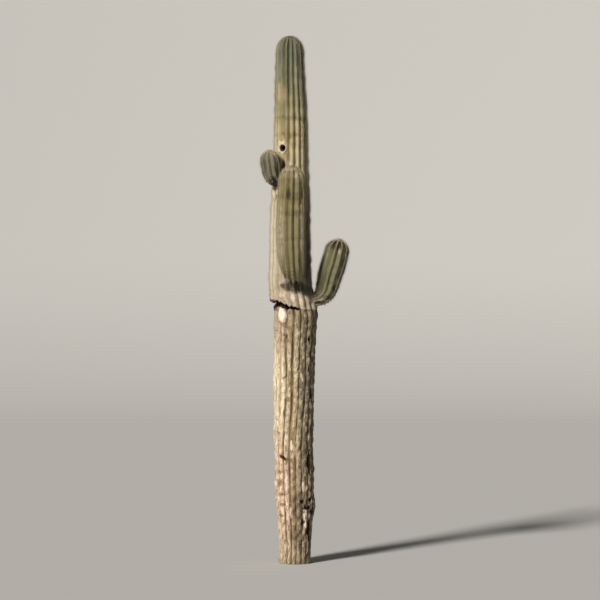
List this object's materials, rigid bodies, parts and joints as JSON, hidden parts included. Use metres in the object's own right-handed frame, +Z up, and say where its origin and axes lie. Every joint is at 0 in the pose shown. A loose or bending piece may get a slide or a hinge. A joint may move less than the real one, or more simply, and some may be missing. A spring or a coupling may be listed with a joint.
{
  "type": "saguaro cactus",
  "caption": "Whole saguaro cactus rooted in level ground: a tall ribbed column, corky bark below and green skin above, with short upturned arms.",
  "frame": {"origin": "middle of the flat cut under the trunk, at ground level", "axes": "+Z up along the trunk, +X to the right as the picture shows the plant, +Y away from its viewer"},
  "size_m": [1.0279, 0.8748, 6.2],
  "materials": {
    "trunk_skin": "matt waxy skin, khaki green above, turning to tan corky bark below",
    "arm_skin": "matt waxy olive green skin over deep ribs",
    "spines": "dry straw and grey needles in tufts along the ribs"
  },
  "bodies": {
    "root": {"trunk": "trunk_skin", "front_arm": "arm_skin", "right_arm": "arm_skin", "left_arm_bud": "arm_skin"}
  },
  "joints": []
}
